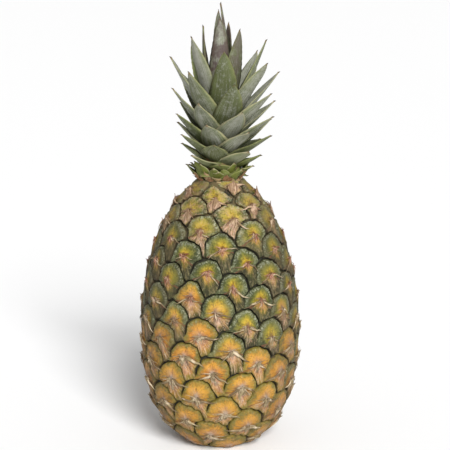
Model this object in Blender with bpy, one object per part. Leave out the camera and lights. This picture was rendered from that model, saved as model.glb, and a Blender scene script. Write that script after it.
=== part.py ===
"""A ripe pineapple, standing on its base as it does on a table.

It has three pieces: the fruit with its spiral of eyes, the leafy crown that grows from its top, and the stub of
the stalk that it was cut from. Lengths are in metres. The origin is the middle of the base, +Z is up and -Y is
the front. An azimuth is measured from the front, towards +X.
"""

import math

import bmesh
import bpy
import numpy as np
from mathutils import Matrix, Vector

# The outline of the fruit over the crests of its eyes: two superellipses that meet where it is widest, and run
# out at the top into a short neck
FRUIT_HEIGHT = 0.2035
FRUIT_RADIUS = 0.060
WIDEST_HEIGHT = 0.0887
LOWER_REACH = 0.0928
LOWER_POWER = 2.47
UPPER_REACH = 0.1165
UPPER_POWER = 1.97
NECK_RADIUS = 0.0165
OUTLINE_STEPS = 400

# The eyes follow one spiral that turns by the golden angle, each with its share of the skin
GOLDEN_ANGLE = math.radians(137.55)
EYE_AREA_LOW = 628e-6
EYE_AREA_HIGH = 367e-6
FIRST_EYE = 0.55
FIRST_EYE_AZIMUTH = math.radians(64.5)
HEART = 0.19
END_ROOM = 0.02
GROOVE_DEPTH = 0.0032
EYE_RINGS = ((1.0, -GROOVE_DEPTH), (0.79, -0.0006))
LONG_SIDE = 0.33

# The bract under each eye: a keeled triangle with its tip lifted off the middle of the eye
BRACT_WIDTH = 0.42
BRACT_THICKNESS = 0.0021
BRACT_FOOT = -0.48
BRACT_FOOT_DEPTH = -0.0026
BRACT_TIP = 0.09
BRACT_TIP_LIFT = 0.0022
LOWEST_BRACT = 0.003
HIGHEST_BRACT = 0.2020

# The stalk's stub, in its socket in the base
STALK_RADIUS = 0.0115
STALK_LENGTH = 0.014
STALK_RECESS = 0.0008
GAP = 0.0003

# The crown's stem
STEM_HEIGHT = 0.061
STEM_RADIUS = 0.0150
STEM_TOP_RADIUS = 0.0060
STEM_SIDES = 12

# The crown's leaves, oldest and lowest first. AGES are the shares of the way up the spiral at which the
# four lines below it give a leaf's size
LEAF_COUNT = 54
LEAF_TURN = math.radians(136.1)
FIRST_LEAF_AZIMUTH = math.radians(92.8)
AGES = (0.00, 0.15, 0.35, 0.55, 0.75, 0.88, 0.95, 1.00)
TIP_RADII = (0.020, 0.028, 0.037, 0.038, 0.041, 0.029, 0.005, 0.001)
TIP_HEIGHTS = (0.001, 0.016, 0.036, 0.055, 0.084, 0.105, 0.113, 0.1265)
CROWN_LEAN = 0.0040
LEAF_WIDTHS = (0.015, 0.019, 0.022, 0.023, 0.023, 0.022, 0.019, 0.016)
LEAF_TAPER = 3.2
LEAF_BOW = 0.05
LEAF_SPREAD = 0.03
LEAF_STATIONS = (0.0, 0.32, 0.62, 0.85)
LEAF_THICKNESS = 0.0020
LOWEST_ROOT = 0.0015
ROOT_RISE = 0.053
ROOT_SHARE = 0.45
CHANNEL = 0.30
LEAF_CLEARANCE = 0.0006

# Looks
RIND = ("rind", (0.62, 0.42, 0.10, 1.0), 0.55)
LEAF_GREEN = ("leaf", (0.20, 0.25, 0.15, 1.0), 0.60)
CUT_STALK = ("cut_stalk", (0.50, 0.38, 0.22, 1.0), 0.85)


def fruit_radius(height):
    """The outline's radius at a height above the base."""
    above = height > WIDEST_HEIGHT
    reach = np.where(above, UPPER_REACH, LOWER_REACH)
    power = np.where(above, UPPER_POWER, LOWER_POWER)
    share = np.minimum(np.abs(height - WIDEST_HEIGHT) / reach, 1)
    body = FRUIT_RADIUS * (1 - share**power) ** (1 / power)
    return (body**4 + NECK_RADIUS**4) ** 0.25


# The skin map is the skin unrolled so that shapes keep their angles: a point is azimuth + 1j * map height
HEIGHTS = np.linspace(0, FRUIT_HEIGHT, OUTLINE_STEPS + 1)
RADII = fruit_radius(HEIGHTS)
SLOPES = np.gradient(RADII, HEIGHTS)
MEAN_RADII = (RADII[1:] + RADII[:-1]) / 2
STEPS = np.hypot(np.diff(HEIGHTS), np.diff(RADII))
MAP_HEIGHTS = np.concatenate(([0], np.cumsum(STEPS / MEAN_RADII)))
EYE_AREAS = np.interp(HEIGHTS[1:], (0, FRUIT_HEIGHT), (EYE_AREA_LOW, EYE_AREA_HIGH))
EYE_COUNTS = np.concatenate(([0], np.cumsum(2 * math.pi * MEAN_RADII * STEPS / EYE_AREAS)))


def on_skin(point, lift):
    """The place in space of a point of the skin map, lifted along the skin's normal."""
    height = np.interp(point.imag, MAP_HEIGHTS, HEIGHTS)
    slope = np.interp(height, HEIGHTS, SLOPES)
    normal = Vector((1, -slope)).normalized()
    radius = fruit_radius(height) + lift * normal[0]
    azimuth = point.real
    return Vector((radius * math.sin(azimuth), -radius * math.cos(azimuth), height + lift * normal[1]))


def eye_size(eye):
    """How wide an eye is, in metres, and the same on the skin map."""
    height = np.interp(eye.imag, MAP_HEIGHTS, HEIGHTS)
    size = math.sqrt(np.interp(height, (0, FRUIT_HEIGHT), (EYE_AREA_LOW, EYE_AREA_HIGH)))
    return size, size / fruit_radius(height)


def eye_centres():
    """The middles of the eyes on the skin map, from the base up. Each lies a little under the heart of its flower."""
    eyes = []
    rise = (MAP_HEIGHTS[-1] - MAP_HEIGHTS[-2]) / (EYE_COUNTS[-1] - EYE_COUNTS[-2])
    for index in range(int(EYE_COUNTS[-1] - FIRST_EYE) + 6):
        map_height = np.interp(index + FIRST_EYE, EYE_COUNTS, MAP_HEIGHTS)
        map_height += max(0, index + FIRST_EYE - EYE_COUNTS[-1]) * rise
        heart = FIRST_EYE_AZIMUTH - index * GOLDEN_ANGLE + 1j * map_height
        eye = heart - 1j * HEART * eye_size(heart)[1]
        if END_ROOM < eye.imag < MAP_HEIGHTS[-1] - END_ROOM:
            eyes.append(eye)
    return eyes


def nearer(outline, eye, other):
    """The part of an outline on the skin map that is nearer to the eye than to another point."""
    middle, away = (eye + other) / 2, other - eye
    past = [((corner - middle) * away.conjugate()).real for corner in outline]
    kept = []
    for index, corner in enumerate(outline):
        following = (index + 1) % len(outline)
        if past[index] <= 0:
            kept.append(corner)
        if past[index] * past[following] < 0:
            share = past[index] / (past[index] - past[following])
            kept.append(corner + share * (outline[following] - corner))
    return kept


def eye_outline(eye, eyes):
    """An eye's outline on the skin map: all that is nearer to it than to any other eye or end of the fruit."""
    reach = 1.6 * eye_size(eye)[1]
    outline = [eye + reach * corner for corner in (-1 - 1j, 1 - 1j, 1 + 1j, -1 + 1j)]
    for other in eyes:
        across = (other.real - eye.real + math.pi) % (2 * math.pi) - math.pi
        away = across + 1j * (other.imag - eye.imag)
        if 0 < abs(away) < 2 * reach:
            for turn in (-2 * math.pi, 0, 2 * math.pi):
                outline = nearer(outline, eye, eye + away + turn)
    for end in (MAP_HEIGHTS[0], MAP_HEIGHTS[-1]):
        outline = nearer(outline, eye, eye + 2j * (end - eye.imag))
    return outline


def add_eye(mesh, eye, outline):
    """The dome of one eye, from the groove around it up to its crest."""
    rim = []
    for index, corner in enumerate(outline):
        following = outline[(index + 1) % len(outline)]
        rim.append(corner)
        if abs(following - corner) > LONG_SIDE * eye_size(eye)[1]:
            rim.append((corner + following) / 2)
    rings = []
    for share, lift in EYE_RINGS:
        ring = []
        for point in rim:
            at_end = min(abs(point.imag - end) for end in (MAP_HEIGHTS[0], MAP_HEIGHTS[-1])) < 1e-9
            sunk = 0 if share == 1 and at_end else lift
            ring.append(mesh.verts.new(on_skin(eye + share * (point - eye), sunk)))
        rings.append(ring)
    for outer, inner in zip(rings, rings[1:]):
        for index in range(len(rim)):
            following = (index + 1) % len(rim)
            mesh.faces.new((outer[index], outer[following], inner[following], inner[index]))
    crest = mesh.verts.new(on_skin(eye, 0))
    for index in range(len(rim)):
        mesh.faces.new((rings[-1][index], rings[-1][(index + 1) % len(rim)], crest))


def bract_matrix(eye):
    """Places the unit bract, a pyramid along +Z with its keel along Y, on an eye."""
    size = eye_size(eye)[0]
    centre = on_skin(eye, 0)
    out = (on_skin(eye, 1) - centre).normalized()
    across = Vector((math.cos(eye.real), math.sin(eye.real), 0))
    up = out.cross(across)
    foot = centre + BRACT_FOOT * size * up + BRACT_FOOT_DEPTH * out
    tip = centre + BRACT_TIP * size * up + BRACT_TIP_LIFT * out
    along = tip - foot
    keel = along.normalized().cross(across)
    columns = (across * BRACT_WIDTH * size, keel * BRACT_THICKNESS, along)
    return Matrix.Translation((foot + tip) / 2) @ Matrix(columns).transposed().to_4x4()


def new_object(name, mesh, collection):
    """An object of a bmesh, which is used up."""
    data = bpy.data.meshes.new(name)
    mesh.to_mesh(data)
    mesh.free()
    made = bpy.data.objects.new(name, data)
    collection.objects.link(made)
    return made


def new_collection(name):
    made = bpy.data.collections.new(name)
    bpy.context.scene.collection.children.link(made)
    return made


def apply_modifiers(target):
    """Replaces an object's mesh with the one that its modifiers give."""
    graph = bpy.context.evaluated_depsgraph_get()
    result = bpy.data.meshes.new_from_object(target.evaluated_get(graph))
    target.modifiers.clear()
    target.data = result


def fuse(target, pieces):
    """Joins every object of a collection to the target as one solid, and removes them."""
    union = target.modifiers.new("fuse", "BOOLEAN")
    union.operation = "UNION"
    union.operand_type = "COLLECTION"
    union.solver = "MANIFOLD"
    union.collection = pieces
    apply_modifiers(target)
    for piece in list(pieces.objects):
        bpy.data.objects.remove(piece)
    bpy.data.collections.remove(pieces)


def fill_pockets(target):
    """Makes a piece solid where its parts close round an empty pocket: only the outer surface stays."""
    solid = bmesh.new()
    solid.from_mesh(target.data)
    left, shells = set(solid.verts), []
    while left:
        shell, waiting = set(), [left.pop()]
        while waiting:
            corner = waiting.pop()
            shell.add(corner)
            for edge in corner.link_edges:
                other = edge.other_vert(corner)
                if other in left:
                    left.remove(other)
                    waiting.append(other)
        shells.append(shell)
    outer = max(shells, key=len)
    inner = [corner for shell in shells if shell is not outer for corner in shell]
    bmesh.ops.delete(solid, geom=inner, context="VERTS")
    solid.to_mesh(target.data)
    solid.free()


def finish(target, looks):
    """Gives a piece its material and smooth round faces."""
    name, colour, roughness = looks
    material = bpy.data.materials.new(name)
    material.use_nodes = True
    shader = material.node_tree.nodes["Principled BSDF"]
    shader.inputs["Base Color"].default_value = colour
    shader.inputs["Roughness"].default_value = roughness
    target.data.materials.clear()
    target.data.materials.append(material)
    target.data.shade_smooth()
    target.data.set_sharp_from_angle(angle=math.radians(40))


def make_fruit(collection):
    """The fruit: an eye for each turn of the spiral, a bract on each, and a socket for the stalk."""
    eyes = eye_centres()
    skin = bmesh.new()
    for eye in eyes:
        add_eye(skin, eye, eye_outline(eye, eyes))
    bmesh.ops.remove_doubles(skin, verts=skin.verts, dist=0.0003)
    rims = [edge for edge in skin.edges if edge.is_boundary]
    bmesh.ops.holes_fill(skin, edges=rims, sides=0)
    bmesh.ops.recalc_face_normals(skin, faces=skin.faces)
    fruit = new_object("fruit", skin, collection)

    unit = bmesh.new()
    bmesh.ops.create_cone(unit, cap_ends=True, segments=3, radius1=1, radius2=0, depth=1)
    bracts = new_collection("bracts")
    first = new_object("bract", unit, bracts)
    first.matrix_world = bract_matrix(eyes[len(eyes) // 2])
    for eye in eyes[: len(eyes) // 2] + eyes[len(eyes) // 2 + 1 :]:
        place = bract_matrix(eye)
        heights = [(place @ corner.co).z for corner in first.data.vertices]
        if min(heights) < LOWEST_BRACT or max(heights) > HIGHEST_BRACT:
            continue
        bract = bpy.data.objects.new("bract", first.data)
        bract.matrix_world = place
        bracts.objects.link(bract)
    fuse(fruit, bracts)

    socket = bmesh.new()
    socket_depth = STALK_LENGTH + STALK_RECESS + GAP
    bmesh.ops.create_cone(
        socket, cap_ends=True, segments=32, radius1=STALK_RADIUS + GAP, radius2=STALK_RADIUS + GAP,
        depth=2 * socket_depth,
    )
    cutters = new_collection("cutters")
    cutter = new_object("socket", socket, cutters)
    cut = fruit.modifiers.new("socket", "BOOLEAN")
    cut.operation = "DIFFERENCE"
    cut.object = cutter
    apply_modifiers(fruit)
    bpy.data.objects.remove(cutter)
    bpy.data.collections.remove(cutters)
    finish(fruit, RIND)


def make_stalk(collection):
    """The stub of the stalk, cut a little inside the base."""
    stub = bmesh.new()
    bmesh.ops.create_cone(
        stub, cap_ends=True, segments=32, radius1=STALK_RADIUS, radius2=STALK_RADIUS, depth=STALK_LENGTH,
        matrix=Matrix.Translation((0, 0, STALK_RECESS + STALK_LENGTH / 2)),
    )
    finish(new_object("stalk", stub, collection), CUT_STALK)


def leaf_mesh(index):
    """One leaf: a blade with a channel along it, on a curve from the stem out to its tip."""
    age = index / (LEAF_COUNT - 1)
    azimuth = FIRST_LEAF_AZIMUTH - index * LEAF_TURN
    out = Vector((math.sin(azimuth), -math.cos(azimuth), 0))
    across = Vector((math.cos(azimuth), math.sin(azimuth), 0))
    up = Vector((0, 0, 1))
    base = FRUIT_HEIGHT + GAP
    width = np.interp(age, AGES, LEAF_WIDTHS)
    root_height = LOWEST_ROOT + ROOT_RISE * age
    stem_radius = STEM_RADIUS + (STEM_TOP_RADIUS - STEM_RADIUS) * root_height / STEM_HEIGHT
    root = out * stem_radius * ROOT_SHARE + up * (base + root_height)
    tip = out * np.interp(age, AGES, TIP_RADII) + up * (base + np.interp(age, AGES, TIP_HEIGHTS))
    tip.x += CROWN_LEAN * 4 * age * (1 - age)
    bend = root + (tip - root) * 0.5 + (up * LEAF_BOW + out * LEAF_SPREAD) * (tip - root).length

    mesh = bmesh.new()
    rings = []
    for share in LEAF_STATIONS:
        centre = root * (1 - share) ** 2 + bend * 2 * share * (1 - share) + tip * share**2
        along = ((bend - root) * (1 - share) + (tip - bend) * share).normalized()
        back = along.cross(across)
        if back.dot(out) < 0:
            back = -back
        half = width / 2 * (1 - share**LEAF_TAPER)
        keel = half * CHANNEL * (1 + (1 - share))
        thick = LEAF_THICKNESS * (1 - 0.4 * share)
        section = (-across * half, back * keel, across * half, back * (keel - thick))
        rings.append([mesh.verts.new(centre + place) for place in section])
    for lower, upper in zip(rings, rings[1:]):
        for corner in range(4):
            following = (corner + 1) % 4
            mesh.faces.new((lower[corner], lower[following], upper[following], upper[corner]))
    point = mesh.verts.new(tip)
    for corner in range(4):
        mesh.faces.new((rings[-1][corner], rings[-1][(corner + 1) % 4], point))
    mesh.faces.new(rings[0])
    for corner in mesh.verts:
        corner.co.z = max(corner.co.z, base + LEAF_CLEARANCE)
    bmesh.ops.recalc_face_normals(mesh, faces=mesh.faces)
    return mesh


def make_crown(collection):
    """The crown: a short stem with its leaves in a spiral, fused to it."""
    stem = bmesh.new()
    bmesh.ops.create_cone(
        stem, cap_ends=True, segments=STEM_SIDES, radius1=STEM_RADIUS, radius2=STEM_TOP_RADIUS, depth=STEM_HEIGHT,
        matrix=Matrix.Translation((0, 0, FRUIT_HEIGHT + GAP + STEM_HEIGHT / 2)),
    )
    crown = new_object("crown", stem, collection)
    leaves = new_collection("leaves")
    for index in range(LEAF_COUNT):
        new_object("leaf", leaf_mesh(index), leaves)
    fuse(crown, leaves)
    fill_pockets(crown)
    finish(crown, LEAF_GREEN)


def main():
    for stale in list(bpy.data.objects):
        bpy.data.objects.remove(stale)
    pineapple = new_collection("pineapple")
    make_fruit(pineapple)
    make_stalk(pineapple)
    make_crown(pineapple)


main()
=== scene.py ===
"""A ripe pineapple with its crown, standing on its base on a pale floor."""

import math

import bpy
import numpy as np
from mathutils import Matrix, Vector


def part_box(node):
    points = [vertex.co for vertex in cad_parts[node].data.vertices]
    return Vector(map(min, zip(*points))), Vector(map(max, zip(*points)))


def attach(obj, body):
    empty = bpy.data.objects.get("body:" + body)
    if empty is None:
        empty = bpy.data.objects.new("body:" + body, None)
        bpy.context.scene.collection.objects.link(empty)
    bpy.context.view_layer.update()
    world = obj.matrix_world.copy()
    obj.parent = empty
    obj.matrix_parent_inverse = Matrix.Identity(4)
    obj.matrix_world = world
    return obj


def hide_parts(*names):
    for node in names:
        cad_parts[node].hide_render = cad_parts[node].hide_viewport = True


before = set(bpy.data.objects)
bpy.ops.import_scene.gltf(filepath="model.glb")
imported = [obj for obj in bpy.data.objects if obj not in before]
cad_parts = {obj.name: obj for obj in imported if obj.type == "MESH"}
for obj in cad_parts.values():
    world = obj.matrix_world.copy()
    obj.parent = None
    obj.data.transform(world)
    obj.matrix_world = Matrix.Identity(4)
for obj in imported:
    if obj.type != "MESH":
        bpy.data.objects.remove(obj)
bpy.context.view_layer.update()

# The stub of the stalk. The plant's woody stem was cut through just under the fruit, and its end has dried
# to pale fibres round a darker ring. It stands in a socket in the fruit's base.
stalk_low, stalk_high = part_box("stalk")
STALK_RINGS, STALK_SIDES, STALK_EDGE, FIRST_RING = 9, 64, 0.0007, 0.3
CUT_INSET, CUT_ROUGHNESS, CUT_WAVE = 0.0004, 0.00012, 0.0003
WALL_FOOT, WALL_FLUTES, FLUTE_SHARE = 0.0012, 9, 0.012
STALK_FIBRE_SCALE, STALK_BLOTCH_SCALE, STALK_RELIEF = 1900.0, 260.0, 0.0006
RING_INSIDE, RING_OUTSIDE = (0.62, 0.72), (0.80, 0.90)
STALK_PALE, STALK_DARK, STALK_RING = (0.44, 0.30, 0.15), (0.16, 0.09, 0.04), (0.27, 0.20, 0.07)


class Value:
    """A shader socket that Python sums and products can use."""

    def __init__(self, socket):
        self.socket = socket

    def node(self, kind, settings, inputs, output=0):
        """A new node's output, with the node's settings made before its sockets are filled."""
        tree = self.socket.id_data
        made = tree.nodes.new(kind)
        for name, setting in settings.items():
            setattr(made, name, setting)
        for name, given in inputs.items():
            if isinstance(given, Value):
                tree.links.new(given.socket, made.inputs[name])
            elif isinstance(given, tuple) and made.inputs[name].type == "RGBA":
                made.inputs[name].default_value = (*given, 1)
            else:
                made.inputs[name].default_value = given
        return Value(made.outputs[output])

    def math(self, operation, *values):
        return self.node("ShaderNodeMath", {"operation": operation}, dict(enumerate(values)))

    def __add__(self, other):
        return self.math("ADD", self, other)

    def __radd__(self, other):
        return self.math("ADD", other, self)

    def __sub__(self, other):
        return self.math("SUBTRACT", self, other)

    def __rsub__(self, other):
        return self.math("SUBTRACT", other, self)

    def __mul__(self, other):
        return self.math("MULTIPLY", self, other)

    def __rmul__(self, other):
        return self.math("MULTIPLY", other, self)

    def __truediv__(self, other):
        return self.math("DIVIDE", self, other)

    def __pow__(self, other):
        return self.math("POWER", self, other)

    def step(self, low, high):
        """0 below low and 1 above high, with a smooth rise between them."""
        return self.node(
            "ShaderNodeMapRange",
            {"interpolation_type": "SMOOTHSTEP"},
            {"Value": self, "From Min": low, "From Max": high, "To Min": 0.0, "To Max": 1.0},
        )

    def mix(self, low, high):
        """The colour low where this value is 0, and high where it is 1."""
        return self.node("ShaderNodeMix", {"data_type": "RGBA"}, {0: self, 6: low, 7: high}, 2)

    def part(self, letter):
        """One number of a vector."""
        return self.node("ShaderNodeSeparateXYZ", {}, {0: self}, "XYZ".index(letter))

    def parts(self):
        """All three numbers of a vector."""
        return [self.part(letter) for letter in "XYZ"]

    def times(self, factors):
        return self.node("ShaderNodeVectorMath", {"operation": "MULTIPLY"}, {0: self, 1: factors})

    def plus(self, other):
        return self.node("ShaderNodeVectorMath", {"operation": "ADD"}, {0: self, 1: other})

    def noise(self, scale, detail=3.0, roughness=0.55):
        """Cloudy noise from 0 to 1 at this place."""
        inputs = {"Vector": self, "Scale": scale, "Detail": detail, "Roughness": roughness}
        return self.node("ShaderNodeTexNoise", {}, inputs)


def new_material(name, **sockets):
    """A material, with the sockets of its shader that are the same all over."""
    material = bpy.data.materials.new(name)
    material.use_nodes = True
    shader = material.node_tree.nodes["Principled BSDF"]
    for socket, value in sockets.items():
        shader.inputs[socket.replace("_", " ")].default_value = value
    return material


def attribute(material, name):
    """What a piece's mesh stores under a name."""
    start = Value(material.node_tree.nodes["Principled BSDF"].outputs[0])
    return start.node("ShaderNodeAttribute", {"attribute_name": name}, {}, "Vector")


def place_of(material):
    """The place on the object, in metres."""
    start = Value(material.node_tree.nodes["Principled BSDF"].outputs[0])
    return start.node("ShaderNodeTexCoord", {}, {}, "Object")


def wire(material, colour, roughness, height, distance):
    """Joins a finish's colour, roughness and relief to its shader. Distance is the relief's depth in metres."""
    shader = material.node_tree.nodes["Principled BSDF"]
    bump = height.node("ShaderNodeBump", {}, {"Strength": 1.0, "Distance": distance, "Height": height})
    for name, value in (("Base Color", colour), ("Roughness", roughness), ("Normal", bump)):
        material.node_tree.links.new(value.socket, shader.inputs[name])


def new_piece(name, points, faces, material, stored=()):
    """An object of points in metres, none under the floor, and faces. Stored is what its material reads on them."""
    mesh = bpy.data.meshes.new(name)
    places = np.maximum(np.asarray(points).reshape(-1, 3), (-np.inf, -np.inf, 0))
    mesh.from_pydata(places.tolist(), [], faces)
    for key, vectors in dict(stored).items():
        layer = mesh.attributes.new(key, "FLOAT_VECTOR", "POINT")
        layer.data.foreach_set("vector", np.asarray(vectors, np.float32).ravel())
    mesh.materials.append(material)
    mesh.shade_smooth()
    made = bpy.data.objects.new(name, mesh)
    bpy.context.scene.collection.objects.link(made)
    return made


def grid_faces(rows, columns, start=0, closed=True):
    """Four-sided faces between rows of points, each row closed into a ring or open."""
    faces = []
    for row in range(rows - 1):
        for column in range(columns if closed else columns - 1):
            following = (column + 1) % columns
            low, high = start + row * columns, start + (row + 1) * columns
            faces.append((low + column, low + following, high + following, high + column))
    return faces


def turns_of(sides):
    """The angles of evenly spaced sides round an axis."""
    return np.arange(sides) * 2 * math.pi / sides


def ring_of(radius, turns, height):
    """The points of a ring round the upright axis."""
    return np.stack([radius * np.cos(turns), radius * np.sin(turns), 0 * turns + height], 1)


def smooth(low, high, values):
    """0 below low and 1 above high, with a smooth rise between them."""
    share = np.clip((values - low) / (high - low), 0, 1)
    return share * share * (3 - 2 * share)


rng = np.random.default_rng(11)
stalk_radius = (stalk_high[0] - stalk_low[0]) / 2
turns = turns_of(STALK_SIDES)
rough_cut = rng.normal(0, CUT_ROUGHNESS, (STALK_RINGS, STALK_SIDES))
stalk_points = []
for ring in range(STALK_RINGS):
    radius = (stalk_radius - STALK_EDGE) * (ring + FIRST_RING) / (STALK_RINGS - 1 + FIRST_RING)
    lift = stalk_low[2] + CUT_INSET + rough_cut[ring] + CUT_WAVE * np.sin(3 * turns + ring)
    stalk_points.append(ring_of(radius, turns, lift))
wall = stalk_radius * (1 - FLUTE_SHARE * (1 + np.sin(WALL_FLUTES * turns)))
for height in (stalk_low[2] + WALL_FOOT, stalk_high[2]):
    stalk_points.append(ring_of(wall, turns, height))
stalk_faces = [face[::-1] for face in grid_faces(STALK_RINGS + 2, STALK_SIDES)]
stalk_faces.append(tuple(range(STALK_SIDES)))
stalk_faces.append(tuple(range((STALK_RINGS + 1) * STALK_SIDES, (STALK_RINGS + 2) * STALK_SIDES))[::-1])

cut_stalk = new_material("cut stalk")
place = place_of(cut_stalk)
across, along = place.part("X"), place.part("Y")
out = (across * across + along * along) ** 0.5 / stalk_radius
fibres = place.times((1.0, 1.0, 0.05)).noise(STALK_FIBRE_SCALE, 2.0)
blotches = place.noise(STALK_BLOTCH_SCALE)
ring_mask = out.step(*RING_INSIDE) * (1 - out.step(*RING_OUTSIDE))
colour = (fibres * 0.7 + blotches * 0.3).step(0.30, 0.66).mix(STALK_DARK, STALK_PALE)
colour = (ring_mask * 0.6).mix(colour, STALK_RING)
wire(cut_stalk, colour, 0.95 - 0.2 * fibres, fibres + blotches, STALK_RELIEF)
stalk = new_piece("stalk_stub", stalk_points, stalk_faces, cut_stalk)
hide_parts("stalk")
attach(stalk, "root")

# The rind. A pineapple is a spike of flowers whose berries have grown into one: each eye is one berry, a low dome
# in a narrow dark groove. They follow one spiral that turns by the golden angle, and ripen from the base up.
FRUIT_RADIUS, WIDEST_HEIGHT = 0.060, 0.0887
LOWER_REACH, LOWER_POWER = 0.0928, 2.47
UPPER_REACH, UPPER_POWER = 0.1165, 1.97
GOLDEN_ANGLE = math.radians(137.55)
EYE_AREA_LOW, EYE_AREA_HIGH = 628e-6, 367e-6
NECK_RADIUS, HEART, END_ROOM = 0.0165, 0.19, 0.02
MAP_STEPS, SPARE_EYES = 401, 6
DOME, TOP_DOME, DOME_HEIGHTS, RAGGED = 0.55, 0.82, (0.145, 0.190), 0.05
CRINKLES = ((0.016, (13, 9), (11, 14)), (0.0058, (37, 29), (41, 31)), (0.0026, (83, 71), (89, 67)))
UNEQUAL, UNEQUAL_TURNS = 0.065, (37, 53)
NEIGHBOURS, BESIDE, NECK_SPAN, FOOT_SLACK = 2.4, 0.35, 1.3, 0.5
OUT_OF_REACH, HARDLY = 9.0, 1e-6
FIRST_EYE, FIRST_EYE_AZIMUTH = 0.55, math.radians(64.5)
EYE_SIDES, MIDDLE_RINGS, ROUNDINGS = 56, 8, 10
EDGE_SHARES = (0.85, 0.90, 0.94, 0.97, 0.985, 1.0)
GROOVE_DEPTH, GROOVE_START, GROOVE_SILL, FLOOR_SILL = 0.0032, 0.89, 0.0004, 0.0003
EYE_SAG, CREASE_DEPTH, CREASE_WIDTH, CRINKLE = 0.0007, 0.0006, 0.07, 0.00036
RIM_LIP, RIM_SHARE, RIM_WIDTH = 0.0004, 0.80, 0.07
BRACT_RISE, PLEAT, PLEATS = 0.0008, 0.00055, 11
BRACT_DEGREES, RIPE_DEGREES, FLARE_DEGREES, BRACT_EDGE = 30, 14, 22, 0.14
HEART_RISE, HEART_KNOB, KNOB_WIDTH = 0.07, 0.0008, 0.14
RIPE_BELOW, GREEN_ABOVE, RIPE_SPREAD, DRY_NECK = 0.062, 0.145, 0.014, (0.160, 0.185)
# The last two numbers on the next line set the painted shade on the fruit's sides, a little stronger on the left.
GREENER_SIDE, GREENER_FROM, SIDE_SHADE_FROM, SIDE_SHADE_BIAS = 0.026, (0.50, 0.95), (0.45, 0.95), 0.05
SKIN_ORANGE, SKIN_AMBER = (0.65, 0.280, 0.029), (0.61, 0.315, 0.033)
# The second colour on the next line is a bright amber, used partly as a painted highlight on ripe eyes.
SKIN_RED, SKIN_AMBER_HIGHLIGHT = (0.54, 0.18, 0.032), (0.76, 0.39, 0.060)
SKIN_GREEN, SKIN_OLIVE, SKIN_BLUE_GREEN = (0.040, 0.050, 0.012), (0.185, 0.155, 0.022), (0.150, 0.165, 0.080)
FOOT_DARK, FOOT_STRAND, HEART_PALE = (0.024, 0.022, 0.008), (0.19, 0.16, 0.070), (0.55, 0.45, 0.35)
SKIN_STRAW, NECK_PINK, NECK_FLOOR = (0.50, 0.42, 0.10), (0.54, 0.29, 0.19), (0.10, 0.075, 0.03)
# The last colour on the next line is painted shade, for the fruit's sides and its foot.
SKIN_SHADE, SKIN_FLECK, PAINTED_SHADE_OLIVE = (0.030, 0.022, 0.009), (0.56, 0.46, 0.28), (0.080, 0.052, 0.022)
SKIN_YELLOW, SKIN_LIME, SKIN_PALE_RIM = (0.68, 0.45, 0.030), (0.27, 0.27, 0.035), (0.36, 0.38, 0.27)
PAPER_BEIGE, PAPER_PALE, PAPER_GREY = (0.45, 0.250, 0.150), (0.60, 0.41, 0.31), (0.120, 0.070, 0.055)
PAPER_PINK, PAPER_LIGHT = (0.47, 0.220, 0.165), (0.68, 0.53, 0.41)
BRISTLE_RED, BRISTLE_YELLOW, BRISTLE_PINK = (0.19, 0.050, 0.028), (0.50, 0.26, 0.050), (0.50, 0.28, 0.18)
GROOVE_DARK, GROOVE_OLIVE, GROOVE_BROWN = (0.010, 0.010, 0.005), (0.035, 0.035, 0.012), (0.085, 0.055, 0.022)
HEART_BROWN, BRISTLE_DARK = (0.17, 0.050, 0.024), (0.060, 0.022, 0.022)
CLOUD_SCALE, MOTTLE_SCALE, FINE_SCALE, STREAK_SCALE = 150.0, 360.0, 900.0, 2.2
EYE_SEED, RIND_RELIEF, FLOOR_SCALE, FLOOR_RELIEF = (31.0, 47.0, 0.0), 0.0011, 300.0, 0.0005

fruit_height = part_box("fruit")[1][2]


def fruit_radius(height):
    """The radius over the crests of the eyes at a height above the base."""
    above = height > WIDEST_HEIGHT
    reach = np.where(above, UPPER_REACH, LOWER_REACH)
    power = np.where(above, UPPER_POWER, LOWER_POWER)
    share = np.minimum(np.abs(height - WIDEST_HEIGHT) / reach, 1)
    return ((FRUIT_RADIUS * (1 - share**power) ** (1 / power)) ** 4 + NECK_RADIUS**4) ** 0.25


# The skin map unrolls the skin so that shapes keep their angles: a point is azimuth + 1j * map height.
heights = np.linspace(0, fruit_height, MAP_STEPS)
radii = fruit_radius(heights)
slopes = np.gradient(radii, heights)
mean_radii = (radii[1:] + radii[:-1]) / 2
steps = np.hypot(np.diff(heights), np.diff(radii))
map_heights = np.concatenate(([0], np.cumsum(steps / mean_radii)))
eye_areas = np.interp(heights[1:], (0, fruit_height), (EYE_AREA_LOW, EYE_AREA_HIGH))
eye_counts = np.concatenate(([0], np.cumsum(2 * math.pi * mean_radii * steps / eye_areas)))


def crinkled(points):
    """The skin map pulled about a little, so that no two eyes have the same outline."""
    x, y = points.real, points.imag
    room = smooth(0, 0.2, np.minimum(y, map_heights[-1] - y))
    for pull, (a, b), (c, d) in CRINKLES:
        points = points + pull * room * (np.sin(a * x + b * y + 1) + 1j * np.sin(c * x - d * y + 2))
    return points


def on_skin(points, lifts):
    """Places in space of points of the skin map, lifted along the skin's normal."""
    points = crinkled(points)
    height = np.interp(points.imag, map_heights, heights)
    slope = np.interp(height, heights, slopes)
    long = np.sqrt(1 + slope**2)
    radius = fruit_radius(height) + lifts / long
    azimuth = points.real
    return np.stack([radius * np.sin(azimuth), -radius * np.cos(azimuth), height - lifts * slope / long], -1)


def eye_size(eye):
    """How wide an eye is, in metres, and the same on the skin map."""
    height = np.interp(eye.imag, map_heights, heights)
    size = math.sqrt(np.interp(height, (0, fruit_height), (EYE_AREA_LOW, EYE_AREA_HIGH)))
    return size, size / float(fruit_radius(height))


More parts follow.
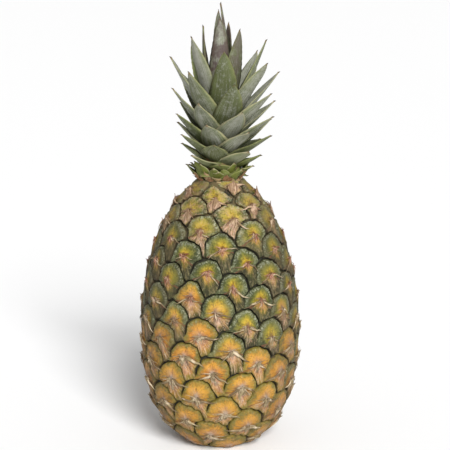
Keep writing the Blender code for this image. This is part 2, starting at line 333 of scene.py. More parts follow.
def eye_centres():
    """The eyes on the skin map, from the base up. Each lies under the heart of its flower."""
    found = []
    rise = (map_heights[-1] - map_heights[-2]) / (eye_counts[-1] - eye_counts[-2])
    for index in range(int(eye_counts[-1] - FIRST_EYE) + SPARE_EYES):
        count = index + FIRST_EYE
        at = np.interp(count, eye_counts, map_heights) + max(0, count - eye_counts[-1]) * rise
        heart = FIRST_EYE_AZIMUTH - index * GOLDEN_ANGLE + 1j * at
        eye = heart - 1j * HEART * eye_size(heart)[1]
        if END_ROOM < eye.imag < map_heights[-1] - END_ROOM:
            found.append(eye)
    return np.array(found)


def dome(eyes):
    """How far an eye's brow is from its middle on the skin map. Near the neck the eyes are rounder."""
    height = np.interp(eyes.imag, map_heights, heights)
    share = DOME + (TOP_DOME - DOME) * smooth(*DOME_HEIGHTS, height)
    share = share * (1 + UNEQUAL * np.sin(UNEQUAL_TURNS[0] * eyes.real + UNEQUAL_TURNS[1] * eyes.imag))
    return share * np.array([eye_size(eye)[1] for eye in np.atleast_1d(eyes)]).reshape(np.shape(eyes))


def eye_reach(eye, eyes, directions):
    """How far an eye goes in each direction on the skin map: to its own round brow above, to the brows of the
    eyes below it, and between them to halfway to the eyes beside it."""
    span = eye_size(eye)[1]
    across = (eyes.real - eye.real + math.pi) % (2 * math.pi) - math.pi
    away = across + 1j * (eyes.imag - eye.imag)
    near = (abs(away) > HARDLY) & (abs(away) < NEIGHBOURS * span)
    away, domes = away[near], dome(eyes)[near]
    facing = (directions[:, None] * away.conjugate()[None, :]).real
    under = facing**2 - abs(away) ** 2 + domes**2
    met = (facing > 0) & (under > 0) & (away.imag < 0)
    brows = np.where(met, facing - np.sqrt(np.maximum(under, 0)), OUT_OF_REACH)
    near_neck = eye.imag + NECK_SPAN * span > map_heights[-1]
    level = away[(abs(away.imag) < BESIDE * span) | near_neck]
    ends = np.array([2j * (map_heights[0] - eye.imag), 2j * (map_heights[-1] - eye.imag)])
    beside = np.concatenate([level, ends])
    facing = (directions[:, None] * beside.conjugate()[None, :]).real
    halfway = np.where(facing > HARDLY, abs(beside) ** 2 / 2 / np.maximum(facing, HARDLY), OUT_OF_REACH)
    slack = FOOT_SLACK * (1 - smooth(-0.40, 0.0, directions.imag)) + OUT_OF_REACH * near_neck
    brow = dome(eye) + span * slack
    return np.minimum(np.minimum(brows.min(1), halfway.min(1)), brow)


eyes = eye_centres()
angles = (np.arange(EYE_SIDES) + 0.5) * 2 * math.pi / EYE_SIDES
directions = np.exp(1j * angles)
upper = smooth(-0.45, 0.05, np.sin(angles))
shares = np.concatenate((np.linspace(0.0, 0.78, MIDDLE_RINGS)[1:], EDGE_SHARES))
rng = np.random.default_rng(5)
skin_points, skin_faces, skin_place, skin_kind, skin_dry_and_side_shade = [], [], [], [], []
for eye in eyes:
    notches = rng.uniform(0, 6.28, 3)
    notch = sum(np.sin(turns * angles + phase) for turns, phase in zip((2, 3, 5), notches)) / 3
    reach = eye_reach(eye, eyes, directions) * (1 - RAGGED * np.maximum(notch, 0))
    rounded = reach.copy()
    for _ in range(ROUNDINGS):
        rounded = (np.roll(rounded, 1) + 2 * rounded + np.roll(rounded, -1)) / 4
    eye_height = np.interp(eye.imag, map_heights, heights)
    aside = math.sin(eye.real)
    greener = GREENER_SIDE * smooth(*GREENER_FROM, aside)
    ripeness = 1 - smooth(RIPE_BELOW, GREEN_ABOVE, eye_height + greener + rng.normal(0, RIPE_SPREAD))
    neck = smooth(*DRY_NECK, eye_height)
    dryness = max(ripeness, 0.8 * neck)
    # Painted shade for eyes on the fruit's sides, a little stronger on the left than on the right.
    painted_side_shade = smooth(*SIDE_SHADE_FROM, abs(aside)) * (1.0 - SIDE_SHADE_BIAS * math.copysign(1, aside))
    tone, swell = rng.uniform(0, 1), rng.uniform(0.8, 1.25)
    waves, phase = rng.integers(19, 27), rng.uniform(0, 6.28)
    wobble = rng.uniform(0.8, 1.2, 3)
    start = sum(len(block) for block in skin_points)
    for share in shares:
        across, rise = share * np.cos(angles), share * np.sin(angles) - HEART_RISE
        far = np.hypot(across, rise)
        from_heart = np.arctan2(across, -rise)
        opening = math.radians(BRACT_DEGREES + RIPE_DEGREES * ripeness)
        opening = opening + math.radians(FLARE_DEGREES) * smooth(0.10, 0.90, far) * wobble[0]
        paper = 1 - smooth(opening - BRACT_EDGE, opening + BRACT_EDGE, np.abs(from_heart))
        crease = np.exp(-((across / CREASE_WIDTH) ** 2)) * smooth(0.05, 0.15, rise) * (1 - smooth(0.45, 0.62, rise))
        crinkle = np.cos(waves * angles + phase + 1.5 * np.sin(3 * angles)) * smooth(0.5, 0.85, share) * upper
        edge = smooth(GROOVE_START, 1.0, share) * upper + smooth(0.95, 1.0, share) * (1 - upper)
        lift = -EYE_SAG * share**2 * swell - (GROOVE_DEPTH - GROOVE_SILL) * edge**0.9
        lift = lift - CREASE_DEPTH * crease * wobble[1] + CRINKLE * crinkle * (1 - edge)
        lift = lift + RIM_LIP * np.exp(-(((share - RIM_SHARE) / RIM_WIDTH) ** 2)) * upper * (1 - 0.6 * ripeness)
        lift = lift + PLEAT * np.cos(PLEATS * from_heart + phase) * paper * smooth(0.2, 0.6, far) * (1 - edge)
        lift = lift + BRACT_RISE * paper * (1 - 0.6 * smooth(0.2, 1.0, far)) * (1 - edge) * wobble[2]
        lift = lift + HEART_KNOB * np.exp(-((far / KNOB_WIDTH) ** 2))
        radius = share * (reach * share**3 + rounded * (1 - share**3))
        points = eye + radius * directions
        at_end = np.minimum(points.imag, map_heights[-1] - points.imag) < HARDLY
        skin_points.append(on_skin(points, np.where(at_end, 0, lift)))
        skin_place.append(np.stack([across, rise, 0 * angles + share], 1))
        skin_kind.append(np.stack([0 * angles + ripeness, 0 * angles + tone, paper], 1))
        skin_dry_and_side_shade.append(np.full((EYE_SIDES, 3), (dryness, neck, painted_side_shade)))
    skin_faces += grid_faces(len(shares), EYE_SIDES, start)
    skin_points.append(on_skin(np.array([eye]), np.array([BRACT_RISE])))
    skin_place.append(np.array([[0, -HEART_RISE, 0]]))
    skin_kind.append(np.array([[ripeness, tone, 1.0]]))
    skin_dry_and_side_shade.append(np.full((1, 3), (dryness, neck, painted_side_shade)))
    crest = start + len(shares) * EYE_SIDES
    skin_faces += [(start + (side + 1) % EYE_SIDES, start + side, crest) for side in range(EYE_SIDES)]
skin_faces = [face[::-1] for face in skin_faces]

rind = new_material("rind", Specular_IOR_Level=0.35)
eye_place, kind, place = attribute(rind, "eye_place"), attribute(rind, "eye_kind"), place_of(rind)
side, rise, share = eye_place.parts()
ripe, tone, paper = kind.parts()
# The third number stored on each eye is its painted side shade.
dryness, neck, painted_side_shade = attribute(rind, "eye_dry_and_side_shade").parts()
seed = kind.times(EYE_SEED)
ray = eye_place.node("ShaderNodeVectorMath", {"operation": "NORMALIZE"}, {0: eye_place.times((1.0, 1.0, 0.0))})


def radiating(turns, drift, detail, roughness):
    """Noise in streaks that run out from an eye's heart, with others in each eye."""
    along = eye_place.times((0.0, 0.0, drift))
    return ray.times((turns, turns, 0.0)).plus(along).plus(seed).noise(STREAK_SCALE, detail, roughness)


streaks, fibres = radiating(5.5, 0.9, 4.0, 0.65), radiating(15.0, 1.4, 3.0, 0.6)
cloud = place.noise(CLOUD_SCALE, 4.0, 0.6)
mottle = place.noise(MOTTLE_SCALE, 4.0, 0.7)
fine = place.noise(FINE_SCALE, 3.0, 0.6)
patches, strands, hairs = mottle * 0.6 + streaks * 0.4, mottle * 0.5 + fibres * 0.5, fibres * 0.6 + fine * 0.4
from_heart = (side * side + rise * rise) ** 0.5
ragged = share + (streaks - 0.5) * 0.12 + (cloud - 0.5) * 0.08

# Unripe eyes: dark green with a blue bloom at the brow, a dull foot, and yellow opening round the heart.
petal = (side * side * 1.3 + rise * rise) ** 0.5 + (streaks - 0.5) * 0.55 + (cloud - 0.5) * 0.2
petal = petal - neck * 0.15 - ripe * 0.25
green = (cloud + (tone - 0.5) * 0.5 + (fine - 0.5) * 0.4).step(0.38, 0.66).mix(SKIN_GREEN, SKIN_OLIVE)
bloom_rim = (cloud * 0.5 + fine * 0.5).step(0.38, 0.58).mix(SKIN_GREEN, SKIN_BLUE_GREEN)
green = (ragged.step(0.50, 0.75) * 0.9).mix(green, bloom_rim)
foot = (fibres * 0.6 + mottle * 0.4).step(0.46, 0.64).mix(FOOT_DARK, FOOT_STRAND)
below = 1 - (rise + (mottle - 0.5) * 0.6).step(-0.62, -0.34)
green = (below * (0.9 - neck * 0.6)).mix(green, foot)
green = ((1 - petal.step(0.38, 0.80)) * 0.7).mix(green, SKIN_LIME)
green = ((1 - petal.step(0.12, 0.56)) * 0.95).mix(green, SKIN_YELLOW)

# Ripe eyes: amber and orange with red patches, a bright crown that is partly amber colour and partly a painted
# highlight, and an olive brow.
orange = (streaks * 0.6 + tone * 0.4).step(0.32, 0.62).mix(SKIN_ORANGE, SKIN_AMBER)
flushed = ((1 - tone) * 0.3 + cloud * 0.9 + (fine - 0.5) * 0.3).step(0.66, 0.96)
orange = (flushed * 0.8).mix(orange, SKIN_RED)
orange = ((1 - (fibres * 0.7 + fine * 0.3).step(0.36, 0.52)) * 0.5).mix(orange, SKIN_RED)
orange = (patches.step(0.52, 0.66) * 0.40).mix(orange, PAPER_PINK)
# A painted highlight on the crown of each ripe eye, in a bright amber that is partly the eye's colour.
amber_crown_and_highlight = 1 - ((rise - 0.32) ** 2.0 + side * side * 0.6 + (cloud - 0.5) * 0.3).step(0.0, 0.22)
orange = (amber_crown_and_highlight * 0.55).mix(orange, SKIN_AMBER_HIGHLIGHT)
olive = (ragged + (cloud - 0.5) * 0.8 + (mottle - 0.5) * 0.7).step(0.50, 0.92)
orange = (olive * 0.95).mix(orange, SKIN_OLIVE)

# Both kinds, with straw and pink at the neck, a pale brow on green eyes, and soil and flecks all over.
skin = (ripe + (0.5 - share) * 0.45 + (cloud - 0.5) * 0.5).step(0.25, 0.75).mix(green, orange)
skin = (neck * (cloud * 0.6 + streaks * 0.4).step(0.40, 0.60) * 0.7).mix(skin, SKIN_STRAW)
skin = (neck * strands.step(0.46, 0.60) * 0.65).mix(skin, NECK_PINK)
pale_rim = ragged.step(0.66, 0.80) * (1 - ragged.step(0.90, 0.95)) * rise.step(-0.35, 0.10) * (1 - ripe * 0.85)
skin = (pale_rim * (streaks * 0.4 + fine * 0.6).step(0.48, 0.58) * 0.75).mix(skin, SKIN_PALE_RIM)
soiled = 1 - (fine * 0.4 + cloud * 0.6 + ripe * 0.08).step(0.38, 0.54)
skin = (soiled * 0.6).mix(skin, SKIN_GREEN)
skin = ((1 - patches.step(0.36, 0.50)) * 0.55).mix(skin, SKIN_SHADE)
skin = ((mottle * 0.5 + fine * 0.5).step(0.56, 0.66) * 0.35).mix(skin, SKIN_FLECK)

# The dried bract grown on to the eye: pale, pinkish and veined on ripe eyes and at the neck.
beside = (side * side) ** 0.5 + (fibres - 0.5) * 0.5 + from_heart * 0.06
papery = ((1 - beside.step(0.08, 0.30)) * 0.9).mix(PAPER_BEIGE, PAPER_PALE)
papery = ((1 - from_heart.step(0.10, 0.50)) * 0.7).mix(papery, PAPER_PALE)
papery = (cloud.step(0.42, 0.62) * 0.7).mix(papery, PAPER_PINK)
papery = (ripe * patches.step(0.42, 0.58) * 0.52).mix(papery, SKIN_AMBER)
papery = (neck * mottle.step(0.35, 0.60) * 0.8).mix(papery, NECK_PINK)
veined = 1 - (streaks * 0.3 + fibres * 0.4 + mottle * 0.3).step(0.42, 0.54)
papery = (veined * 0.9).mix(papery, PAPER_GREY)
papery = (hairs.step(0.52, 0.60) * 0.75).mix(papery, PAPER_LIGHT)
papery = ((fine * 0.5 + streaks * 0.5).step(0.50, 0.60) * beside.step(0.1, 0.4) * 0.6).mix(papery, SKIN_OLIVE)

# On green eyes it is a star of red and yellow bristles round a tuft.
bristly = (patches + (from_heart - 0.3) * 0.25).step(0.44, 0.58).mix(BRISTLE_RED, BRISTLE_YELLOW)
bristly = ((fibres * 0.5 + fine * 0.5).step(0.50, 0.60) * 0.75).mix(bristly, BRISTLE_PINK)
bristly = ((1 - strands.step(0.36, 0.48)) * 0.8).mix(bristly, BRISTLE_DARK)
from_tuft = (side * side + (rise + 0.16) ** 2.0) ** 0.5 + (streaks - 0.5) * 0.5 + (mottle - 0.5) * 0.4
tuft = hairs.step(0.44, 0.56).mix(BRISTLE_RED, BRISTLE_PINK)
bristly = ((1 - from_tuft.step(0.12, 0.34)) * 0.85).mix(bristly, tuft)
bristly = ((from_heart + (streaks - 0.5) * 0.9).step(0.42, 0.74) * 0.95).mix(bristly, green)
papery = (dryness + (tone - 0.5) * 0.5).step(0.05, 0.55).mix(bristly, papery)
spiky = dryness - neck * 0.6
star = (paper - 0.5) * (0.6 + spiky * 0.9) + (fibres * 0.6 + streaks * 0.4 - 0.5) * (3.2 - spiky * 1.2) + 0.27
star = star - from_heart * (0.60 - spiky * 0.30 + ripe * 0.60)
skin = ((star / (1 + ripe * 0.9)).step(0.0, 0.30) * 0.95).mix(skin, papery)

# The pale halo and the brown creases round the heart, and the heart, where the flower was.
halo = ripe * (1 - (from_heart + (fibres - 0.5) * 1.2 + (fine - 0.5) * 0.3).step(0.10, 0.44))
skin = (halo * 0.6).mix(skin, (streaks * 0.5 + mottle * 0.5).step(0.44, 0.58).mix(PAPER_PINK, PAPER_PALE))
fold = (paper * (1 - paper) * 4.0).step(0.55, 1.0) * (from_heart + (streaks - 0.5) * 0.6).step(0.22, 0.45)
skin = (fold * 0.65).mix(skin, HEART_BROWN)
centre = 1 - (from_heart + (streaks - 0.5) * 0.30).step(0.03, 0.20)
skin = (centre * (0.5 + 0.5 * streaks)).mix(skin, ripe.mix(HEART_BROWN, HEART_PALE))

# The grooves, coloured dark, and painted shade on the fruit's sides and towards its foot.
groove_colour = cloud.step(0.4, 0.7).mix(GROOVE_DARK, GROOVE_OLIVE)
browned = (fine * 0.6 + cloud * 0.4).step(0.42, 0.58) * (ripe + neck)
groove_colour = browned.mix(groove_colour, GROOVE_BROWN)
# The grooves are drawn a little wider where the sides get painted shade.
cut = share + (cloud - 0.5) * 0.10 + (fine - 0.5) * 0.05 - ripe * 0.020 + painted_side_shade * 0.02
skin = cut.step(0.920, 0.965).mix(skin, groove_colour)
# Painted shade on the fruit's sides.
skin = (painted_side_shade * (mottle * 0.6 + cloud * 0.4).step(0.32, 0.60) * 0.68).mix(skin, PAINTED_SHADE_OLIVE)
# Painted shade towards the foot of the fruit, darker nearer the floor.
painted_foot_shade = 1 - place.part("Z").step(0.0, 0.085)
skin = (painted_foot_shade * (mottle * 0.5 + cloud * 0.5).step(0.34, 0.62) * 0.32).mix(skin, PAINTED_SHADE_OLIVE)
relief = streaks * 0.7 + fibres * 0.5 + fine * 0.35 + mottle * 0.6
wire(rind, skin, 0.42 + 0.30 * paper + 0.20 * mottle, relief, RIND_RELIEF)
skin = new_piece("rind", np.concatenate(skin_points), skin_faces, rind, {
    "eye_place": np.concatenate(skin_place),
    "eye_kind": np.concatenate(skin_kind),
    "eye_dry_and_side_shade": np.concatenate(skin_dry_and_side_shade),
})
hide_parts("fruit")

# The floor of the grooves. It is the same skin where the eyes meet, coloured dark. It has grown as one with
# the rind, lies under the eyes and closes the rind between them and over its top.
UNDER_ROWS, UNDER_SIDES = 60, 96
rows = np.linspace(map_heights[0], map_heights[-1], UNDER_ROWS)
under_map = np.concatenate([turns_of(UNDER_SIDES) + 1j * row for row in rows])
depths = [(GROOVE_DEPTH - FLOOR_SILL) * min(1, row * 20, (rows[-1] - row) * 1.5 + 0.2) for row in rows]
sunk = -np.repeat(depths, UNDER_SIDES)
under_faces = grid_faces(UNDER_ROWS, UNDER_SIDES)
under_faces.append(tuple(range((UNDER_ROWS - 1) * UNDER_SIDES, UNDER_ROWS * UNDER_SIDES)))
groove_finish = new_material("groove")
place = place_of(groove_finish)
cloud = place.noise(FLOOR_SCALE)
floor_colour = cloud.step(0.4, 0.7).mix(GROOVE_DARK, GROOVE_OLIVE)
floor_colour = (place.part("Z").step(*DRY_NECK) * cloud.step(0.3, 0.6)).mix(floor_colour, NECK_FLOOR)
wire(groove_finish, floor_colour, 0.8 + 0.1 * cloud, cloud, FLOOR_RELIEF)
under_skin = new_piece("groove_floor", on_skin(under_map, sunk), under_faces, groove_finish)
for piece in (skin, under_skin):
    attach(piece, "root")

# The scar of the base. The lowest berries end in a disc of cork round the stalk's socket. It has grown on to the
# fruit, and the fruit stands on it.
SCAR_RINGS, SCAR_SIDES = 10, 96
SOCKET_ROOM, SCAR_OVERLAP, SCAR_TUCK, SCAR_DEPTH = 0.0003, 0.0002, 0.99, 0.004
SCAR_LIFT, SCAR_ROUGHNESS = 0.0001, 0.0006
GRAIN_SCALE, SCAR_BLOTCH_SCALE, SCAR_RELIEF = 1300.0, 170.0, 0.0007
SCAR_PALE, SCAR_DARK = (0.34, 0.24, 0.12), (0.12, 0.08, 0.035)

rng = np.random.default_rng(23)
turns = turns_of(SCAR_SIDES)
inner = stalk_radius + SOCKET_ROOM
outer = float(fruit_radius(np.array(0.0))) + SCAR_OVERLAP
scar_points = [ring_of(inner, turns, SCAR_DEPTH)]
for ring in range(SCAR_RINGS):
    share = ring / (SCAR_RINGS - 1)
    rough = rng.uniform(0.2, 1, SCAR_SIDES) * (ring < SCAR_RINGS - 1)
    lift = SCAR_LIFT + SCAR_ROUGHNESS * (1 - share) * rough
    scar_points.append(ring_of(inner + (outer - inner) * share, turns, lift))
scar_points.append(scar_points[-1] * (SCAR_TUCK, SCAR_TUCK, 1) + (0, 0, SCAR_DEPTH))
scar_faces = [face[::-1] for face in grid_faces(SCAR_RINGS + 2, SCAR_SIDES)]
cork = new_material("corky scar")
place = place_of(cork)
grain, blotches = place.noise(GRAIN_SCALE, 4.0, 0.7), place.noise(SCAR_BLOTCH_SCALE)
colour = (grain * 0.5 + blotches * 0.5).step(0.35, 0.62).mix(SCAR_DARK, SCAR_PALE)
wire(cork, colour, 0.9 - 0.1 * grain, grain, SCAR_RELIEF)
scar = new_piece("base_scar", scar_points, scar_faces, cork)
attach(scar, "root")

# The bracts. Under each berry sat a small leaf, which has dried to a papery triangle over the lower half of the
# eye, with stiff arms to its corners and loose fibres. Its tip is lifted off the eye's middle.
LOWEST_BRACT, HIGHEST_BRACT = 0.009, 0.2025
FLAP_ROWS, FLAP_COLUMNS = 9, 9
FLAP_FOOT, FLAP_TIP, FLAP_WIDTH, FLAP_SAG = -0.34, 0.05, 0.11, 0.05
FLAP_ROOT, FLAP_LIFT, FLAP_RISE, FLAP_THICK = -0.0008, 0.0016, 0.0010, 0.00035
KEEL_LIFT, TIP_LIFT, NECK_LIFT, FLAP_PLEAT = 0.0006, 0.0008, 0.0011, 0.00016
ARM_COUNT, FIBRE_COUNT, FIBRE_ROWS = 2, 20, 7
ARM_WIDTH, FIBRE_WIDTH, FIBRE_START, FIBRE_FAN = 0.0009, 0.00055, 0.04, 3.2
VEINS, BRACT_CLOUD_SCALE, BRACT_RELIEF = (55.0, 0.8, 40.0), 240.0, 0.0007
BRACT_TAN, BRACT_PALE, BRACT_BROWN = (0.33, 0.26, 0.13), (0.60, 0.49, 0.34), (0.15, 0.095, 0.050)


def strand(path, widths, ridge):
    """The points of a thin three-sided fibre along a path, with a ridge that is a share of its width high."""
    path = np.asarray(path)
    along = np.gradient(path, axis=0)
    along /= np.linalg.norm(along, axis=1)[:, None]
    out = path * (1, 1, 0)
    out /= np.linalg.norm(out, axis=1)[:, None]
    flat = np.cross(along, out)
    flat /= np.linalg.norm(flat, axis=1)[:, None]
    width = np.asarray(widths)[:, None]
    return np.stack([path - flat * width / 2, path + flat * width / 2, path + out * width * ridge], 1)


rng = np.random.default_rng(17)
paper_points, paper_faces, paper_place = [], [], []
fibre_points, fibre_faces, fibre_place = [], [], []
for eye in eyes:
    span = eye_size(eye)[1]
    eye_height = float(np.interp(eye.imag, map_heights, heights))
    tone, lean, grown = rng.uniform(0, 1), rng.normal(0, 0.05), rng.uniform(0.8, 1.15)
    neck = smooth(*DRY_NECK, eye_height)
    ripeness = max(1 - smooth(RIPE_BELOW, GREEN_ABOVE, eye_height), 0.8 * neck)
    ragged_edge = rng.uniform(0.80, 1.15, (FLAP_ROWS, 2))
    fibres = rng.uniform(0, 1, (FIBRE_COUNT, 4))
    if not LOWEST_BRACT < eye_height < HIGHEST_BRACT:
        continue
    start = sum(len(block) for block in paper_points)
    broad = FLAP_WIDTH * (0.35 + 0.65 * ripeness + 0.9 * neck)
    foot = FLAP_FOOT * (0.6 + 0.4 * ripeness)
    q = np.linspace(-1, 1, FLAP_COLUMNS)
    for row in range(FLAP_ROWS):
        t = row / (FLAP_ROWS - 1)
        half = broad * (math.sin(math.pi * (0.16 + 0.84 * t)) ** 1.3 + 0.02)
        half = half * np.where(q < 0, *ragged_edge[row])
        rise = foot + (FLAP_TIP * grown - foot) * t - FLAP_SAG * (1 - t) * (1 - q**2)
        lift = FLAP_ROOT + (FLAP_LIFT * grown + FLAP_RISE) * t**0.8 + KEEL_LIFT * (1 - np.abs(q)) * (1 - t)
        lift = lift + FLAP_PLEAT * np.cos(PLEATS * q + 6 * tone) * (1 - t)
        lift = lift + TIP_LIFT * t**6 + NECK_LIFT * neck * t**2
        paper_points.append(on_skin(eye + span * (q * half + lean * t + 1j * rise), lift))
        paper_place.append(np.stack([q * half, 0 * q + t, 0 * q + ripeness + (tone - 0.5) * 0.4], 1))
    paper_faces += grid_faces(FLAP_ROWS, FLAP_COLUMNS, start, closed=False)
    for index, (a, b, c, d) in enumerate(fibres):
        t = np.linspace(0, 1, FIBRE_ROWS)
        arm = index < ARM_COUNT
        if arm:
            hand = 1 if index else -1
            root, corner = 0.05 * hand - 0.05j, (0.26 + 0.44 * b) * hand - (0.10 + 0.32 * d) * 1j
            corner = corner * (0.55 + 0.45 * smooth(0.1, 0.4, c))
            elbow = (root + corner) / 2 + 0.14 * (a - 0.5) * 1j
            path = root * (1 - t) ** 2 + elbow * 2 * t * (1 - t) + corner * t**2
            lift = 0.0006 + (0.0002 + 0.0007 * c) * np.sin(math.pi * t) - 0.0005 * t**3
            width, taper, ridge = ARM_WIDTH * (1 + b) * (1 + 0.9 * ripeness), 0.92, 0.32
        else:
            length = 0.12 + (0.16 + 0.20 * ripeness) * b
            turn = -math.pi / 2 + (a - 0.5) * FIBRE_FAN + (d - 0.5) * 0.7 * t
            path = (FIBRE_START + t * length) * np.exp(1j * turn) + FIBRE_START * 1j
            lift = 0.0010 - 0.0009 * t + (0.0003 + 0.0009 * c) * np.sin(math.pi * t)
            width, taper, ridge = FIBRE_WIDTH, 0.75, 0.55
        begun = sum(len(block) for block in fibre_points)
        ring = strand(on_skin(eye + span * path, lift), width * (1 - taper * t) * (0.7 + 0.6 * c), ridge)
        fibre_points.append(ring.reshape(-1, 3))
        fibre_faces += grid_faces(FIBRE_ROWS, 3, begun)
        last = begun + 3 * (FIBRE_ROWS - 1)
        fibre_faces += [(begun + 2, begun + 1, begun), (last, last + 1, last + 2)]
        paleness = ripeness + 0.6 * arm + (c - 0.5) * 0.6
        fibre_place.append(np.repeat(np.stack([a + 0 * t, t, paleness + 0 * t], 1), 3, 0))

dry_paper = new_material("dry bract")
flap_place, place = attribute(dry_paper, "flap_place"), place_of(dry_paper)
reach, ripe = flap_place.part("Y"), flap_place.part("Z")
veins = flap_place.times(VEINS).noise(1.0, 3.0, 0.6)
cloud = place.noise(BRACT_CLOUD_SCALE, 3.0)
colour = veins.step(0.34, 0.64).mix(BRACT_BROWN, BRACT_TAN)
colour = (veins * 0.5 + cloud * 0.5).step(0.48, 0.62).mix(colour, BRACT_PALE)
raw = (veins * 0.6 + cloud * 0.4).step(0.42, 0.58).mix(BRISTLE_RED, BRISTLE_PINK)
colour = (ripe + (cloud - 0.5) * 0.5).step(0.10, 0.50).mix(raw, colour)
colour = (place.part("Z").step(*DRY_NECK) * (0.15 + 0.55 * cloud)).mix(colour, raw)
colour = (reach.step(0.72, 1.0) * 0.55).mix(colour, BRACT_BROWN)
wire(dry_paper, colour, 0.78 + 0.15 * veins, veins + cloud * 0.4, BRACT_RELIEF)
flaps = new_piece("bracts", np.concatenate(paper_points), paper_faces, dry_paper, {
    "flap_place": np.concatenate(paper_place),
})
thicken = flaps.modifiers.new("thickness", "SOLIDIFY")
thicken.thickness, thicken.offset = FLAP_THICK, 0
fibres = new_piece("bract_fibres", np.concatenate(fibre_points), fibre_faces, dry_paper, {
    "flap_place": np.concatenate(fibre_place),
})
for piece in (flaps, fibres):
    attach(piece, "root")

# The crown's leaves. The plant's tip grew on through the fruit as a short stem in a spiral of thick channelled
# leaves, grey with wax on the back, each with a hard point. Old ones at the foot stay short and turn outwards.
crown_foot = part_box("crown")[0][2]
LEAF_COUNT, LEAF_TURN, FIRST_LEAF_AZIMUTH = 54, math.radians(136.1), math.radians(92.8)
AGES = (0.00, 0.15, 0.35, 0.55, 0.75, 0.88, 0.95, 1.00)
TIP_RADII = (0.020, 0.028, 0.037, 0.038, 0.041, 0.029, 0.005, 0.001)
TIP_HEIGHTS = (0.001, 0.016, 0.036, 0.055, 0.084, 0.105, 0.113, 0.1265)
LEAF_WIDTHS = (0.015, 0.019, 0.022, 0.023, 0.023, 0.022, 0.019, 0.016)
CROWN_LEAN, LEAF_THICKNESS, CHANNEL = 0.0040, 0.0018, 0.30
LEAF_BOW, LEAF_SPREAD = 0.05, 0.03
STEM_RADIUS, STEM_TOP_RADIUS, STEM_HEIGHT = 0.0150, 0.0060, 0.061
LOWEST_ROOT, ROOT_RISE, ROOT_SHARE = 0.0015, 0.053, 0.45
LEAF_ROWS, LEAF_COLUMNS, POINT_LENGTH = 26, 11, 0.00168
TOOTH, TEETH_FROM, LEAF_WAVE = 0.035, 0.35, 0.0005
SCALE_COUNT, SMALL_COUNT, SCALE_ROOT = 26, 22, 0.0138
SCALE_DROP, SCALE_BAND, SMALL_BAND, SMALL_TAPER = 0.0022, 0.002, 0.007, 2.0
SCALE_LENGTHS, SCALE_WIDTHS = (0.006, 0.010), (0.006, 0.009)
SMALL_LENGTHS, SMALL_WIDTHS = (0.009, 0.014), (0.009, 0.013)
TAPER_AGES, TAPERS, TAPER_POWER = (0.15, 0.45), (3.2, 2.3), 0.88
LEAF_WAX, LEAF_GREY, LEAF_GREEN = (0.44, 0.45, 0.39), (0.32, 0.325, 0.265), (0.095, 0.110, 0.038)
# The first colour on the next line is painted shade, for the feet of the leaves where they overlap.
LEAF_ROOT_SHADE, LEAF_FRESH, LEAF_SIDE = (0.064, 0.077, 0.024), (0.128, 0.150, 0.010), (0.145, 0.175, 0.045)
LEAF_SCURF, LEAF_EDGE, LEAF_TIP = (0.47, 0.41, 0.26), (0.33, 0.32, 0.12), (0.20, 0.13, 0.06)
LEAF_PURPLE, LEAF_DRY, LEAF_DRY_PALE = (0.075, 0.040, 0.040), (0.28, 0.12, 0.065), (0.50, 0.34, 0.19)
LEAF_STREAKS, LEAF_SEED, LEAF_RELIEF = (17.0, 1.2, 5.0), (90.0, 57.0, 0.0), 0.0007
LEAF_CLOUD_SCALE, LEAF_MOTTLE_SCALE, LEAF_FINE_SCALE = 120.0, 300.0, 1100.0

